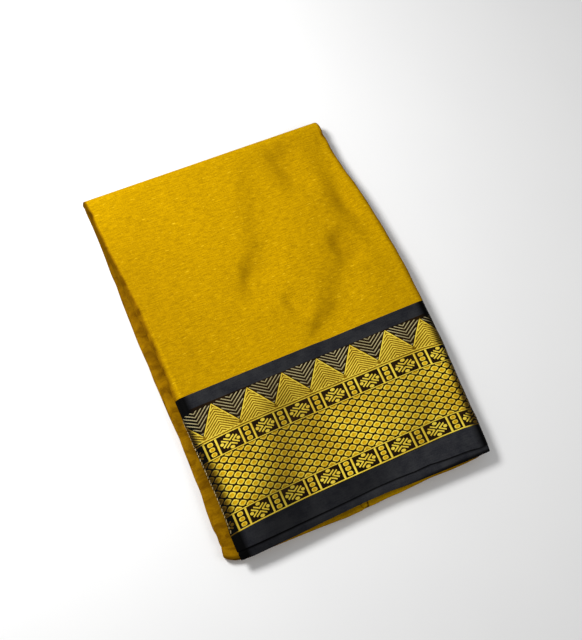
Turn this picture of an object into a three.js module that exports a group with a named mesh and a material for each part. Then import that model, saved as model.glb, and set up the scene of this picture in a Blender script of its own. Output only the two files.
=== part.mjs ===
// A saree folded for the shelf into a flat packet that lies on its underside.
// Millimetres. +X runs across the packet, +Y from the border's selvedge to the far fold, +Z is up.
// The length of cloth is gathered into a strip of many layers, and the strip is folded in three:
// the border's third lies on top and turns down at the far end into the third that rests on the
// surface, and the last third lies between them and turns at the near end.
import * as THREE from 'three';

// Cloth and seams
const CLOTH_WALL = 1.0;
const SEAM_GAP = 0.3;
const HIDDEN_INSET = CLOTH_WALL + SEAM_GAP;

// Heights of the planes where the three thirds meet
const UPPER_SPLIT = 9.5;
const LOWER_SPLIT = 4.8;
const UPPER_WIDEST = 13.0;

// How far a folded edge turns back under itself, where the lower panels' ledge ends, and the
// angle at which two folded edges meet in a notch
const UPPER_TUCK = 4.0;
const LOBE_TUCK = 4.2;
const LEDGE_HEIGHT = UPPER_SPLIT - SEAM_GAP / 2;
const LEDGE_TUCK = 0.2;
const NECK_TUCK = 0.6;
const NOTCH_ANGLE = 38;

// Ends of the packet
const FAR_SHOULDER = 183.8;
const FAR_FOLD_DEPTH = 7.0;
const NEAR_SHOULDER = -187.0;
const NEAR_FOLD_DEPTH = 3.8;

// The border, measured down from the line where it is woven on to the body
const BORDER_TOP = -29.0;
const UPPER_BAND = 11.8;
const BROCADE = 119.0;
const LOWER_BAND = 18.8;
const UNDER_BAND_SHOWING = 8.0;
const UNDER_BAND_TUCK = 20.0;
const UNDER_BAND_DROOP = 1.6;

const BROCADE_TOP = BORDER_TOP - UPPER_BAND;
const BROCADE_END = BROCADE_TOP - BROCADE;
const SELVEDGE = BROCADE_END - LOWER_BAND;
const UNDER_SELVEDGE = SELVEDGE - UNDER_BAND_SHOWING;
const UNDER_BAND_START = SELVEDGE + UNDER_BAND_TUCK;

// Outline at stations along the packet: how far the lower and the upper panels reach to each side
const REACH = [
  { y: -187, lowerLeft: -134.0, upperLeft: -129.4, upperRight: 134.9, lowerRight: 131.5 },
  { y: -180, lowerLeft: -141.2, upperLeft: -130.0, upperRight: 135.9, lowerRight: 134.0 },
  { y: -171, lowerLeft: -143.5, upperLeft: -129.9, upperRight: 136.6, lowerRight: 135.2 },
  { y: -125, lowerLeft: -139.8, upperLeft: -127.6, upperRight: 138.9, lowerRight: 137.2 },
  { y: -80, lowerLeft: -137.0, upperLeft: -126.6, upperRight: 141.9, lowerRight: 139.6 },
  { y: -30, lowerLeft: -135.8, upperLeft: -126.6, upperRight: 143.4, lowerRight: 141.0 },
  { y: 10, lowerLeft: -135.3, upperLeft: -125.2, upperRight: 143.7, lowerRight: 141.2 },
  { y: 60, lowerLeft: -133.6, upperLeft: -126.0, upperRight: 141.7, lowerRight: 139.4 },
  { y: 110, lowerLeft: -131.2, upperLeft: -128.2, upperRight: 136.4, lowerRight: 134.4 },
  { y: 150, lowerLeft: -129.0, upperLeft: -129.3, upperRight: 131.0, lowerRight: 129.4 },
  { y: 184, lowerLeft: -128.6, upperLeft: -129.8, upperRight: 130.6, lowerRight: 129.2 },
];

// How far in from its reach each upper edge has rounded up into the flat, and the top's height
const CROWN = [
  { y: -187, leftRound: 9.5, rightRound: 11.5, top: 17.4 },
  { y: -171, leftRound: 8.8, rightRound: 10.5, top: 18.3 },
  { y: -80, leftRound: 7.5, rightRound: 9.0, top: 19.8 },
  { y: 10, leftRound: 6.5, rightRound: 8.0, top: 20.5 },
  { y: 60, leftRound: 5.5, rightRound: 7.0, top: 20.2 },
  { y: 110, leftRound: 4.6, rightRound: 6.0, top: 19.2 },
  { y: 150, leftRound: 4.2, rightRound: 5.2, top: 18.0 },
  { y: 184, leftRound: 4.0, rightRound: 4.8, top: 16.6 },
];

// The largest creases in the upper face: the middle of each, its heading in degrees from +Y
// towards -X, its length, its width, and how far it rises or, below zero, sinks
const CREASES = [
  { x: -8, y: 64, heading: -38, length: 40, width: 7.0, rise: -0.9 },
  { x: 10, y: 118, heading: -18, length: 110, width: 12.0, rise: 0.6 },
  { x: 71, y: 159, heading: 14, length: 46, width: 6.0, rise: -0.6 },
  { x: 86, y: 51, heading: 8, length: 34, width: 6.0, rise: -1.0 },
  { x: 37, y: -8, heading: -44, length: 30, width: 7.0, rise: -0.7 },
  { x: 16, y: 20, heading: 8, length: 28, width: 5.0, rise: -0.5 },
  { x: 118, y: 80, heading: 8, length: 190, width: 8.0, rise: -0.7 },
  { x: -100, y: 87, heading: 0, length: 30, width: 9.0, rise: -0.5 },
];

// A smooth curve along the packet through each column of a table
const curves = new Map();
for (const table of [REACH, CROWN]) {
  const stations = table.map((row) => row.y);
  for (const column of Object.keys(table[0])) {
    curves.set(column, new THREE.CubicInterpolant(stations, table.map((row) => row[column]), 1));
  }
}

const outlineAt = (column, y) => curves.get(column).evaluate(y)[0];

function relief(x, y) {
  let height = 0;
  for (const crease of CREASES) {
    const heading = THREE.MathUtils.degToRad(crease.heading);
    const dx = x - crease.x;
    const dy = y - crease.y;
    const along = dx * -Math.sin(heading) + dy * Math.cos(heading);
    const across = dx * Math.cos(heading) + dy * Math.sin(heading);
    const fade = Math.exp(-((2 * along / crease.length) ** 4));
    height += crease.rise * fade * Math.exp(-((across / crease.width) ** 2));
  }
  return height;
}

// A quarter or half turn of a folded edge, from one angle to another, in degrees from +X
function edgeArc(middle, reachX, reachZ, from, to, steps) {
  return Array.from({ length: steps + 1 }, (_, k) => {
    const angle = THREE.MathUtils.degToRad(from + (to - from) * k / steps);
    return { x: middle.x + reachX * Math.cos(angle), z: middle.z + reachZ * Math.sin(angle) };
  });
}

// Steps round a folded edge, round the edge of the upper face, and across that face
const EDGE_STEPS = 3;
const ROUND_STEPS = 4;
const FACE_STEPS = 20;

// Upper panel's section at one station, from the right tuck over the top to the left tuck.
// inset moves the whole section inward, so walls and hidden layers share its form.
function upperSection(y, inset) {
  const right = outlineAt('upperRight', y);
  const left = outlineAt('upperLeft', y);
  const faceRight = right - outlineAt('rightRound', y);
  const faceLeft = left + outlineAt('leftRound', y);
  const top = outlineAt('top', y) - underBandDroop(y, inset);
  const drop = UPPER_WIDEST - UPPER_SPLIT - SEAM_GAP / 2 - inset;
  const topAt = (x) => top + relief(x, y) - inset;
  const under = (x, from, to) =>
    edgeArc({ x, z: UPPER_WIDEST }, UPPER_TUCK - inset, drop, from, to, EDGE_STEPS);
  const over = (x, width, from, to) =>
    edgeArc({ x, z: UPPER_WIDEST }, width - inset, topAt(x) - UPPER_WIDEST, from, to, ROUND_STEPS);
  const face = Array.from({ length: FACE_STEPS - 1 }, (_, k) => {
    const x = THREE.MathUtils.lerp(faceRight, faceLeft, (k + 1) / FACE_STEPS);
    return { x, z: topAt(x) };
  });
  return [
    ...under(right - UPPER_TUCK, -90, 0).slice(0, -1),
    ...over(faceRight, right - faceRight, 0, 90),
    ...face,
    ...over(faceLeft, faceLeft - left, 90, 180),
    ...under(left + UPPER_TUCK, 180, 270).slice(1),
  ];
}

// The layers below the top one bend down a little beyond its selvedge
function underBandDroop(y, inset) {
  const beyond = Math.max(0, SELVEDGE - y) / UNDER_BAND_SHOWING;
  return inset < HIDDEN_INSET ? 0 : UNDER_BAND_DROOP * beyond ** 2;
}

// side is 1 on the right of the packet and -1 on the left.
// The lower panels' folded edges turn about this line.
const lobeMiddle = (y, side) => outlineAt(side > 0 ? 'lowerRight' : 'lowerLeft', y) - side * LOBE_TUCK;

// Where the upper and the lower panels last touch before both turn outward
function inmostEdge(y, side) {
  const upper = outlineAt(side > 0 ? 'upperRight' : 'upperLeft', y) - side * UPPER_TUCK;
  const lower = lobeMiddle(y, side);
  return side > 0 ? Math.min(upper, lower) : Math.max(upper, lower);
}

// One folded edge of a lower panel, from its outer face to the notch between the panels or back
function foldedEdge(y, inset, side, low, high, from, to) {
  const turn = (angle) => (side > 0 ? angle : 180 - angle);
  const middle = { x: lobeMiddle(y, side), z: (low + high) / 2 };
  return edgeArc(middle, LOBE_TUCK - inset, (high - low) / 2 - inset, turn(from), turn(to), EDGE_STEPS);
}

const middleEdge = (y, inset, side) =>
  foldedEdge(y, inset, side, LOWER_SPLIT, LEDGE_HEIGHT, 90, -NOTCH_ANGLE);
const bottomEdge = (y, inset, side) =>
  foldedEdge(y, inset, side, 0, LOWER_SPLIT, NOTCH_ANGLE, -90);

// The lowest panel's section, from the notch on the left under the packet to the one on the right
function bottomSection(y, inset) {
  return [...bottomEdge(y, inset, -1), ...bottomEdge(y, inset, 1).reverse()];
}

// The lower panels' section, from the ledge on the left under the packet to the ledge on the right
function lowerSection(y, inset) {
  const ledge = (side) => ({ x: inmostEdge(y, side) - side * LEDGE_TUCK, z: LEDGE_HEIGHT - inset });
  return [
    ledge(-1),
    ...middleEdge(y, inset, -1),
    ...bottomSection(y, inset),
    ...middleEdge(y, inset, 1).reverse(),
    ledge(1),
  ];
}

// The near fold's upper half, between the ledges, from right to left
function nearFoldSection(y, inset) {
  const reachIn = LEDGE_TUCK + SEAM_GAP;
  return [1, -1].map((side) => ({ x: inmostEdge(y, side) - side * reachIn, z: LEDGE_HEIGHT - inset }));
}

// Stations from one y to another, no further apart than the given step
function stationsBetween(from, to, step) {
  const count = Math.max(1, Math.ceil(Math.abs(to - from) / step));
  return Array.from({ length: count + 1 }, (_, k) => THREE.MathUtils.lerp(from, to, k / count));
}

// A station on the straight run of the packet
const straight = (section, y, inset) => section(y, inset).map(({ x, z }) => new THREE.Vector3(x, y, z));

// A station on a fold: the section swung about the line where the folded panels meet
function swung(section, fold, angle, inset) {
  const turn = THREE.MathUtils.degToRad(angle);
  return section(fold.shoulder, inset).map(({ x, z }) => {
    const height = z - fold.axis;
    const swing = Math.abs(height) * fold.depth / fold.thickness(z);
    const away = fold.direction * swing * Math.sin(turn);
    return new THREE.Vector3(x, fold.shoulder + away, fold.axis + height * Math.cos(turn));
  });
}

const farTop = outlineAt('top', FAR_SHOULDER);
const farFold = {
  shoulder: FAR_SHOULDER,
  axis: UPPER_SPLIT,
  depth: FAR_FOLD_DEPTH,
  direction: 1,
  thickness: (z) => (z > UPPER_SPLIT ? farTop - UPPER_SPLIT : UPPER_SPLIT),
};
const farFoldUpper = { ...farFold, axis: UPPER_SPLIT + SEAM_GAP / 2 };
const farFoldLower = { ...farFold, axis: UPPER_SPLIT - SEAM_GAP / 2 };
const nearFold = {
  shoulder: NEAR_SHOULDER,
  axis: LOWER_SPLIT,
  depth: NEAR_FOLD_DEPTH,
  direction: -1,
  thickness: (z) => (z > LOWER_SPLIT ? UPPER_SPLIT - LOWER_SPLIT : LOWER_SPLIT),
};

// Longest steps along the creased body cloth, the smooth border, the rounded near corners, and
// the drooping selvedge
const CREASED_STEP = 15.5;
const SMOOTH_STEP = 24;
const CORNER_STEP = 9.5;
const DROOP_STEP = 3;

// Where the hidden layers below the border end, step by step: how much of the upper panel's height
// stands at each distance from the near fold's shoulder
const HIDDEN_ENDS = [
  { inward: 0.3, rise: 0 },
  { inward: 0.6, rise: 0.34 },
  { inward: 1.8, rise: 0.38 },
  { inward: 2.1, rise: 0.66 },
  { inward: 3.3, rise: 0.70 },
  { inward: 3.6, rise: 1 },
];
const HIDDEN_ENDS_DONE = NEAR_SHOULDER + HIDDEN_ENDS.at(-1).inward;

// Stations along the straight run, which the solids share so that their faces stay parallel
const NEAR_STATIONS = [{ inward: 0 }, ...HIDDEN_ENDS].map(({ inward }) => NEAR_SHOULDER + inward);
const BODY_STATIONS = stationsBetween(BORDER_TOP + SEAM_GAP, FAR_SHOULDER, CREASED_STEP);
const UPPER_BAND_STATIONS = [BROCADE_TOP + SEAM_GAP, BORDER_TOP];
const BROCADE_STATIONS = stationsBetween(BROCADE_END + SEAM_GAP, BROCADE_TOP, SMOOTH_STEP);
const LOWER_BAND_STATIONS = stationsBetween(SELVEDGE, BROCADE_END, CORNER_STEP);
const TUCKED_STATIONS = stationsBetween(HIDDEN_ENDS_DONE, UNDER_BAND_START + SEAM_GAP, CORNER_STEP);
const UNTUCKED_STATIONS = [
  UNDER_BAND_START + SEAM_GAP * 2,
  ...BROCADE_STATIONS.slice(1),
  ...UPPER_BAND_STATIONS,
  ...BODY_STATIONS,
];

// Angles round a fold, and the same ones stopping short of where both of its halves would meet
const FOLD_ANGLES = [20, 40, 60, 80, 90];
const NEARLY_SHUT_ANGLES = [80, 60, 40, 20];

// Joins rows of points into triangles, with the outer side given by the rows' order
class Skin {
  positions = [];

  triangle(...corners) {
    for (const point of corners) this.positions.push(point.x, point.y, point.z);
  }

  strip(first, second) {
    for (let k = 0; k + 1 < first.length; k += 1) {
      this.triangle(first[k], second[k], second[k + 1]);
      this.triangle(first[k], second[k + 1], first[k + 1]);
    }
  }

  // The same triangles as strip, facing the other way
  lining(first, second) {
    for (let k = 0; k + 1 < first.length; k += 1) {
      this.triangle(first[k], second[k + 1], second[k]);
      this.triangle(first[k], first[k + 1], second[k + 1]);
    }
  }

  // Closes a ring with triangles to its middle
  cap(ring) {
    const middle = ring.reduce((sum, point) => sum.add(point), new THREE.Vector3());
    middle.divideScalar(ring.length);
    ring.forEach((point, k) => this.triangle(middle, point, ring[(k + 1) % ring.length]));
  }

  geometry() {
    const geometry = new THREE.BufferGeometry();
    geometry.setAttribute('position', new THREE.Float32BufferAttribute(this.positions, 3));
    geometry.computeVertexNormals();
    return geometry;
  }
}

// A wall of cloth whose outer and inner faces are one grid of points at two insets
function wall(gridAt, outerInset) {
  const outer = gridAt(outerInset);
  const inner = gridAt(outerInset + CLOTH_WALL);
  const skin = new Skin();
  const column = (grid, k) => grid.map((row) => row.at(k));
  for (let j = 0; j + 1 < outer.length; j += 1) {
    skin.strip(outer[j], outer[j + 1]);
    skin.lining(inner[j], inner[j + 1]);
  }
  skin.strip(inner[0], outer[0]);
  skin.strip(outer.at(-1), inner.at(-1));
  skin.strip(column(outer, 0), column(inner, 0));
  skin.strip(column(inner, -1), column(outer, -1));
  return skin.geometry();
}

// Body cloth over the upper face and down over the far fold
function bodyTop() {
  return wall((inset) => [
    ...BODY_STATIONS.map((y) => straight(upperSection, y, inset)),
    ...FOLD_ANGLES.map((angle) => swung(upperSection, farFoldUpper, angle, inset)),
  ], 0);
}

// A stretch of the border over the upper face
function borderStretch(stations) {
  return wall((inset) => stations.map((y) => straight(upperSection, y, inset)), 0);
}

// The next layer's border, tucked under the top one and showing beyond its selvedge
function underBand() {
  const stations = [
    ...stationsBetween(UNDER_SELVEDGE, SELVEDGE, DROOP_STEP),
    ...LOWER_BAND_STATIONS.slice(1),
    UNDER_BAND_START,
  ];
  return wall((inset) => stations.map((y) => straight(upperSection, y, inset)), HIDDEN_INSET);
}

// Body cloth round the underside and the folded sides of the two lower panels
function bodyLower() {
  return wall((inset) => [
    ...NEARLY_SHUT_ANGLES.map((angle) => swung(lowerSection, nearFold, angle, inset)),
    ...[...NEAR_STATIONS, ...TUCKED_STATIONS.slice(1), ...UNTUCKED_STATIONS]
      .map((y) => straight(lowerSection, y, inset)),
    ...FOLD_ANGLES.map((angle) => swung(lowerSection, farFoldLower, angle, inset)),
  ], 0);
}

// Body cloth over the near fold, where the middle third turns into the lower one
function nearFoldUpper() {
  return wall((inset) => [
    ...FOLD_ANGLES.toReversed().map((angle) => swung(nearFoldSection, nearFold, angle, inset)),
    straight(nearFoldSection, NEAR_SHOULDER, inset),
  ], 0);
}

// A ring round all the hidden layers at one station. upperInset leaves room for the cloth over
// the upper panel, and rise is how much of that panel's height stands there.
function hiddenSection(y, upperInset, rise) {
  const ledgeHeight = LEDGE_HEIGHT - HIDDEN_INSET;
  const neck = (side) => inmostEdge(y, side) - side * NECK_TUCK;
  const neckTop = UPPER_SPLIT + SEAM_GAP / 2 + upperInset;
  const upper = [
    { x: neck(1), z: neckTop },
    ...upperSection(y, upperInset),
    { x: neck(-1), z: neckTop },
  ];
  const risen = upper.map(({ x, z }, k) => {
    const along = THREE.MathUtils.lerp(neck(1), neck(-1), (k + 1) / (upper.length + 1));
    return { x: THREE.MathUtils.lerp(along, x, rise), z: THREE.MathUtils.lerp(ledgeHeight, z, rise) };
  });
  return [
    ...bottomSection(y, HIDDEN_INSET),
    ...middleEdge(y, HIDDEN_INSET, 1).reverse(),
    { x: neck(1), z: ledgeHeight },
    ...risen,
    { x: neck(-1), z: ledgeHeight },
    ...middleEdge(y, HIDDEN_INSET, -1),
  ];
}

// Every hidden layer as one rounded solid, stepped where the layers under the border end
function innerLayers() {
  const belowUnderBand = HIDDEN_INSET * 2;
  const bareSection = (y) => hiddenSection(y, belowUnderBand, 0);
  const fullSection = (y) => hiddenSection(y, HIDDEN_INSET, 1);
  const at = (y, upperInset, rise) => straight(() => hiddenSection(y, upperInset, rise), y);
  const rings = [
    ...NEARLY_SHUT_ANGLES.map((angle) => swung(bareSection, nearFold, angle)),
    at(NEAR_SHOULDER, belowUnderBand, 0),
    ...HIDDEN_ENDS.map(({ inward, rise }) => at(NEAR_SHOULDER + inward, belowUnderBand, rise)),
    ...TUCKED_STATIONS.slice(1).map((y) => at(y, belowUnderBand, 1)),
    ...UNTUCKED_STATIONS.map((y) => at(y, HIDDEN_INSET, 1)),
    ...NEARLY_SHUT_ANGLES.toReversed().map((angle) => swung(fullSection, farFold, angle)),
  ];
  const skin = new Skin();
  for (let j = 0; j + 1 < rings.length; j += 1) {
    skin.strip([...rings[j], rings[j][0]], [...rings[j + 1], rings[j + 1][0]]);
  }
  skin.cap(rings[0]);
  skin.cap(rings.at(-1).toReversed());
  return skin.geometry();
}

const body = new THREE.MeshStandardMaterial({ color: 0xc8960c, roughness: 0.55, metalness: 0 });
const bodyShaded = new THREE.MeshStandardMaterial({ color: 0xb4820a, roughness: 0.6, metalness: 0 });
const black = new THREE.MeshStandardMaterial({ color: 0x1c1d22, roughness: 0.5, metalness: 0 });
const zari = new THREE.MeshStandardMaterial({ color: 0xd4b02c, roughness: 0.35, metalness: 0.6 });

const group = new THREE.Group();

function add(name, geometry, material) {
  const mesh = new THREE.Mesh(geometry, material);
  mesh.name = name;
  group.add(mesh);
}

add('body_top', bodyTop(), body);
add('border_band_upper', borderStretch(UPPER_BAND_STATIONS), black);
add('border_brocade', borderStretch(BROCADE_STATIONS), zari);
add('border_band_lower', borderStretch(LOWER_BAND_STATIONS), black);
add('border_under', underBand(), black);
add('body_lower', bodyLower(), bodyShaded);
add('near_fold', nearFoldUpper(), bodyShaded);
add('inner_layers', innerLayers(), bodyShaded);

export default group;
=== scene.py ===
import math

import bpy
import numpy as np
from mathutils import Matrix, Vector


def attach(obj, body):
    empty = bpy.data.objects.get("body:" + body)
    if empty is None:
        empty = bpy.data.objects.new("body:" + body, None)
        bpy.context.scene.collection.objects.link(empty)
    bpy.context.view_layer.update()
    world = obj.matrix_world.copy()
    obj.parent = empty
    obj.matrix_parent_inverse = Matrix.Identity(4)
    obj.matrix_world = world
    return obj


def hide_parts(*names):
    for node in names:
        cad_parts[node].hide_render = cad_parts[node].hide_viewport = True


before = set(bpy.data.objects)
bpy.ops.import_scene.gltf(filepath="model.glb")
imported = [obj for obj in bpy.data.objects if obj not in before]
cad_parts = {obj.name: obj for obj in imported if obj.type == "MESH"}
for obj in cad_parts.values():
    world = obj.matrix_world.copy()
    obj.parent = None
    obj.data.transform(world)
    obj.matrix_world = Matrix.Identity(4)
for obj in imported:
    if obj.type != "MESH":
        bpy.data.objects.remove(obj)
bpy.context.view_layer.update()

# The form is written in millimetres, as the solids are, and goes into Blender in metres
MM = 0.001

# Heights where the three thirds of the packet meet, where the upper panel is widest and where the
# ledge below it lies; how far the edges tuck under; and where the notch between two folds begins
UPPER_SPLIT = 9.5
LOWER_SPLIT = 4.8
UPPER_WIDEST = 13.0
UPPER_TUCK = 4.0
LOBE_TUCK = 4.2
LEDGE_HEIGHT = 9.35
NOTCH_ANGLE = 66

# Ends of the packet
FAR_SHOULDER = 183.8
FAR_FOLD_DEPTH = 9.4
NEAR_SHOULDER = -187.0
NEAR_FOLD_DEPTH = 3.8

# The border, from the line where it is woven on to the body
BORDER_TOP = -29.0
UPPER_BAND = 11.8
BROCADE = 119.0
LOWER_BAND = 18.8
UNDER_BAND_SHOWING = 8.0
UNDER_BAND_TUCK = 20.0
UNDER_BAND_DROOP = 1.6
WOVEN_LINE = BORDER_TOP + 1.5
BROCADE_TOP = BORDER_TOP - UPPER_BAND
BROCADE_END = BROCADE_TOP - BROCADE
SELVEDGE = BROCADE_END - LOWER_BAND
UNDER_SELVEDGE = SELVEDGE - UNDER_BAND_SHOWING
UNDER_BAND_START = SELVEDGE + UNDER_BAND_TUCK

# Outline at stations along the packet: y, lower left, upper left, upper right, lower right
REACH = np.array([
    (-187, -134.0, -129.4, 134.9, 131.5),
    (-180, -141.2, -130.0, 135.9, 134.0),
    (-171, -143.5, -129.9, 136.6, 135.2),
    (-125, -139.8, -127.6, 138.9, 137.2),
    (-80, -137.0, -126.6, 141.9, 139.6),
    (-30, -135.8, -126.6, 143.4, 141.0),
    (10, -135.3, -125.2, 143.7, 141.2),
    (60, -133.6, -126.0, 141.7, 139.4),
    (110, -131.2, -128.2, 136.4, 134.4),
    (150, -129.0, -129.3, 131.0, 129.4),
    (184, -128.6, -129.8, 130.6, 129.2),
])
# y, how far in from its reach each upper edge has rounded into the flat, and the top's height
CROWN = np.array([
    (-187, 9.5, 11.5, 17.4),
    (-171, 8.8, 10.5, 18.3),
    (-80, 7.5, 9.0, 19.8),
    (10, 6.5, 8.0, 20.5),
    (60, 5.5, 7.0, 20.2),
    (110, 4.6, 6.0, 19.2),
    (150, 4.2, 5.2, 18.0),
    (184, 4.0, 4.8, 16.6),
])
COLUMNS = {
    "lower_left": (REACH, 1),
    "upper_left": (REACH, 2),
    "upper_right": (REACH, 3),
    "lower_right": (REACH, 4),
    "left_round": (CROWN, 1),
    "right_round": (CROWN, 2),
    "top": (CROWN, 3),
}

# Creases in the upper face: x, y, heading from +Y towards -X in degrees, length, width, rise.
# The main ones are in the solids too
MAIN_CREASES = [
    (-8, 64, -38, 40, 7, -0.9),
    (10, 118, -18, 110, 12, 0.6),
    (71, 159, 14, 46, 6, -0.6),
    (86, 51, 8, 34, 6, -1),
    (37, -8, -44, 30, 7, -0.7),
    (16, 20, 8, 28, 5, -0.5),
    (118, 80, 8, 190, 8, -0.7),
    (-100, 87, 0, 30, 9, -0.5),
]
FINE_CREASES = [
    (-14, 54, 4, 16, 4, -0.35),
    (2, 71, -58, 20, 4, 0.3),
    (22, 146, -30, 44, 5, -0.25),
    (-61, 172, 10, 26, 8, -0.3),
    (-5, 176, -6, 20, 8, -0.3),
    (79, 118, -8, 40, 5, 0.25),
    (94, 36, 20, 22, 3.5, 0.35),
    (47, 28, -20, 34, 6, 0.25),
    (28, -16, -60, 22, 4, -0.3),
    (-48, 22, 24, 50, 7, 0.22),
    (-72, 118, -16, 60, 9, 0.22),
    (-34, 140, 28, 46, 6, -0.2),
    (52, 92, 32, 44, 6, -0.22),
    (-88, 8, -20, 44, 7, -0.22),
    (128, 120, 12, 60, 4, 0.3),
    (-63, -73, 12, 60, 10, -0.3),
    (-45, -150, -10, 40, 10, -0.3),
    (70, -129, 16, 50, 10, -0.3),
    (18, -120, -20, 56, 10, 0.25),
    (112, -170, 70, 26, 4, 0.5),
]
# Deeper creases that fall away from a crest on the left and rise slowly on the right:
# x, y, heading, length, width on the left, width on the right, rise
CRESTED_CREASES = [
    (-8, 51, -27, 42, 12, 22, -2.6),
    (9, 71, -46, 40, 12, 20, -2.0),
    (29, 125, -20, 100, 17, 34, -1.9),
    (78, 156, 9, 72, 15, 18, -3.0),
    (119, 130, -4, 96, 13, 9, -2.2),
    (122, 80, 17, 70, 13, 9, -2.4),
    (94, 52, 20, 38, 10, 14, -3.8),
    (70, 14, -33, 62, 15, 22, -3.0),
    (43, -15, -55, 44, 12, 19, -2.8),
    (20, 14, 31, 28, 8, 12, -1.7),
    (-60, -116, -32, 136, 15, 19, -1.9),
    (76, -150, -4, 60, 9, 12, -0.8),
]


def unit(value):
    """The value kept between 0 and 1."""
    return np.clip(value, 0, 1)


def ramp(value, start, length):
    """0 up to the start, then rising to 1 over a length. It runs downwards if that is negative."""
    return unit((value - start) / length)


def interpolated(name, y):
    """A smooth curve through one column of a table, the one that the solids follow."""
    table, column = COLUMNS[name]
    at = table[:, 0]
    value = table[:, column]
    y = np.clip(np.asarray(y, float), at[0], at[-1])
    hi = np.clip(np.searchsorted(at, y, side="right"), 1, len(at) - 1)
    lo = hi - 1
    before = np.where(lo > 0, lo - 1, hi)
    after = np.where(hi < len(at) - 1, hi + 1, lo)
    half = (at[hi] - at[lo]) / 2
    w_before = half / (at[lo] - at[before])
    w_after = half / (at[after] - at[hi])
    p = (y - at[lo]) / (at[hi] - at[lo])
    s_before = -w_before * p**3 + 2 * w_before * p**2 - w_before * p
    s_lo = (1 + w_before) * p**3 - (1.5 + 2 * w_before) * p**2 + (w_before - 0.5) * p + 1
    s_hi = -(1 + w_after) * p**3 + (1.5 + w_after) * p**2 + 0.5 * p
    s_after = w_after * (p**3 - p**2)
    return s_before * value[before] + s_lo * value[lo] + s_hi * value[hi] + s_after * value[after]


# Towards the far end the creases fade to a share of their depth, and a trough runs down the border
# near its left edge. A pair is the start and the length of a ramp
FAR_FADE = (166, 17)
FADED_SHARE = 0.25
TROUGH_DEPTH = 1.1
TROUGH_ALONG = (-20, -30)
TROUGH_ACROSS = (-92, -28)


def relief(x, y):
    """Troughs and ridges of the upper face, with a slow unevenness of the layers below it."""
    height = 0.16 * np.sin(x / 21 + 0.6 * np.sin(y / 37)) * np.sin(y / 27 + 0.8)
    height = height + 0.10 * np.sin((x + 0.7 * y) / 13) * np.sin((y - 0.4 * x) / 41 + 1.1)
    height = height - TROUGH_DEPTH * ramp(y, *TROUGH_ALONG) * ramp(x, *TROUGH_ACROSS) ** 2
    left_over = 1 - (1 - FADED_SHARE) * ramp(y, *FAR_FADE)
    return height + left_over * patches(x, y, MAIN_CREASES + FINE_CREASES + CRESTED_CREASES)


def patches(x, y, table):
    """The sum of a table's patches. The last value of a row is what it adds."""
    return sum(amount * patch(x, y, *place) for *place, amount in table)


def patch(x, y, cx, cy, heading, length, left, right=None):
    """1 along a short stretch, fading to 0 round it, over one width, or over one on each side."""
    turn = math.radians(heading)
    dx = x - cx
    dy = y - cy
    along = -dx * math.sin(turn) + dy * math.cos(turn)
    across = dx * math.cos(turn) + dy * math.sin(turn)
    width = np.where(across < 0, left, left if right is None else right)
    return np.exp(-((2 * along / length) ** 4) - (across / width) ** 2)


def powered(angle, power):
    """Cosine and sine, each raised to a power: below 1 it draws a round out towards a square."""
    return [np.sign(wave(angle)) * np.abs(wave(angle)) ** power for wave in (np.cos, np.sin)]


def arc(cx, cz, rx, rz, start, end, steps, power=1.0):
    """Points round part of an ellipse for every station, with angles in degrees from +X."""
    cos, sin = powered(np.radians(np.linspace(start, end, steps + 1)), power)
    cx, cz, rx, rz = (np.reshape(value, (-1, 1)) for value in (cx, cz, rx, rz))
    return np.broadcast_arrays(cx + rx * cos, cz + rz * sin)


CRISP = 0.80
# How far the next layer down lies inside the upper one
UNDER_INSET = 1.15
# Where the upper panel's edges swell or are drawn in: y, how far towards +X, over what length
RIGHT_PINCHES = [(176, -1.0, 3.5)]
LEFT_PINCHES = [(175, 1.3, 4), (-85, -1.6, 42)]
# The left edge swells a little more towards the near corner
NEAR_SWELL = 1.3
NEAR_SWELL_RAMP = (-135, -25)
UNDER_STEPS = 7
ROUND_STEPS = 12
FACE_STEPS = 150


def edge_wave(y):
    """Slow unevenness of the packet's two long edges."""
    return 0.22 * np.sin(y / 9.0) * np.sin(y / 31.0 + 1) + 0.12 * np.sin(y / 4.3)


def pinched(y, pinches):
    return sum(shift * np.exp(-(((y - at) / length) ** 2)) for at, shift, length in pinches)


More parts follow.
